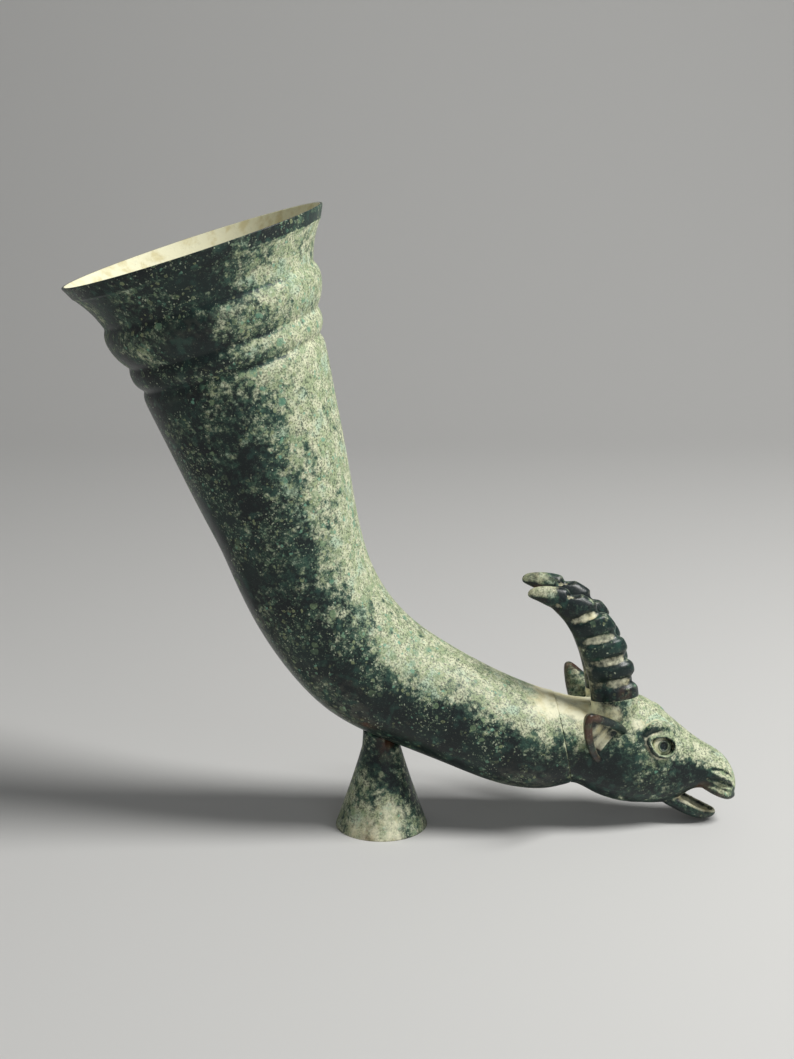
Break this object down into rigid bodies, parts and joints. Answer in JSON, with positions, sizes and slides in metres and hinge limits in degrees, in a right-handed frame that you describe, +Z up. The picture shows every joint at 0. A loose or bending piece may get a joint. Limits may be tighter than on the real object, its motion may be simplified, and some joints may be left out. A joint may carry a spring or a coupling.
{
  "type": "rhyton drinking cup",
  "caption": "Horn-shaped bronze drinking cup with a flared ringed mouth, a bent tapering body on a hollow conical foot, and an ibex-head spout with knobbed horns.",
  "frame": {"origin": "centre of the foot's base ring, on the surface that the cup stands on", "axes": "+Z up, +X towards the muzzle, +Y towards the animal's left side"},
  "size_m": [0.2698, 0.105, 0.2551],
  "materials": {
    "bronze_body": "dark green patina with pale speckles",
    "bronze_head": "dark green patina with cream deposit",
    "bronze_horn": "dark knobs, cream deposit in the grooves",
    "bronze_ear": "dark patina with reddish brown rim",
    "bronze_foot": "dark green patina with tan patches",
    "eye_inlay": "pale patina, satin"
  },
  "bodies": {
    "root": {"beaker": "bronze_body", "head": "bronze_head", "horn_left": "bronze_horn", "horn_right": "bronze_horn", "ear_left": "bronze_ear", "ear_right": "bronze_ear", "foot": "bronze_foot", "eye_left": "eye_inlay", "eye_right": "eye_inlay"}
  },
  "joints": []
}
